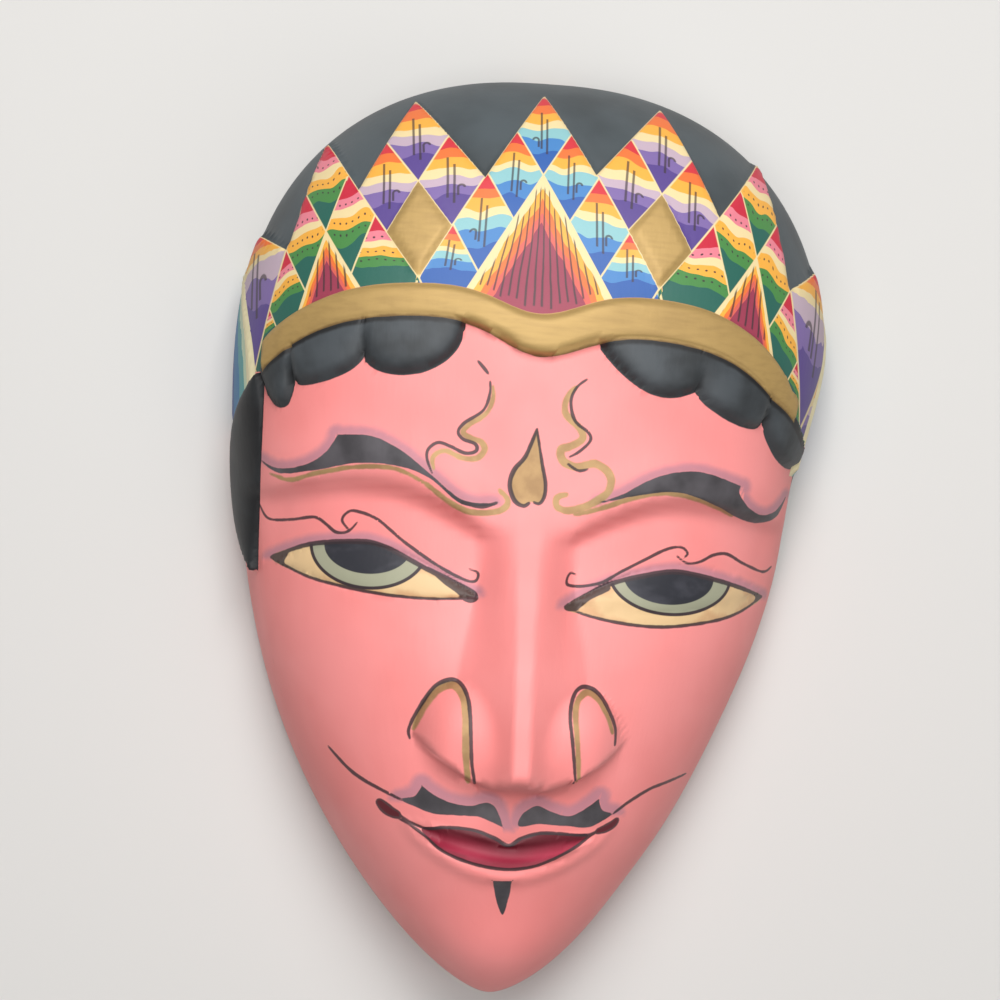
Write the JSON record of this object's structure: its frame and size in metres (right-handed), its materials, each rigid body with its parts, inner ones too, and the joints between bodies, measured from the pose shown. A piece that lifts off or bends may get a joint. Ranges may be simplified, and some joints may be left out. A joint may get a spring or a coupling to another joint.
{
  "type": "wooden wall mask",
  "caption": "Carved and painted wooden face mask, hollow behind, with a lozenge-patterned crown, a gold band and locks of hair. Made to hang on a wall.",
  "frame": {"origin": "middle of the mask's box on the plane of its back rim, on which it lies", "axes": "+Z out of the face, +Y towards the crown, +X to the right of someone facing the mask"},
  "size_m": [0.1298, 0.2, 0.0682],
  "materials": {
    "painted_wood": "satin paint"
  },
  "bodies": {
    "root": {"mask": "painted_wood"}
  },
  "joints": []
}
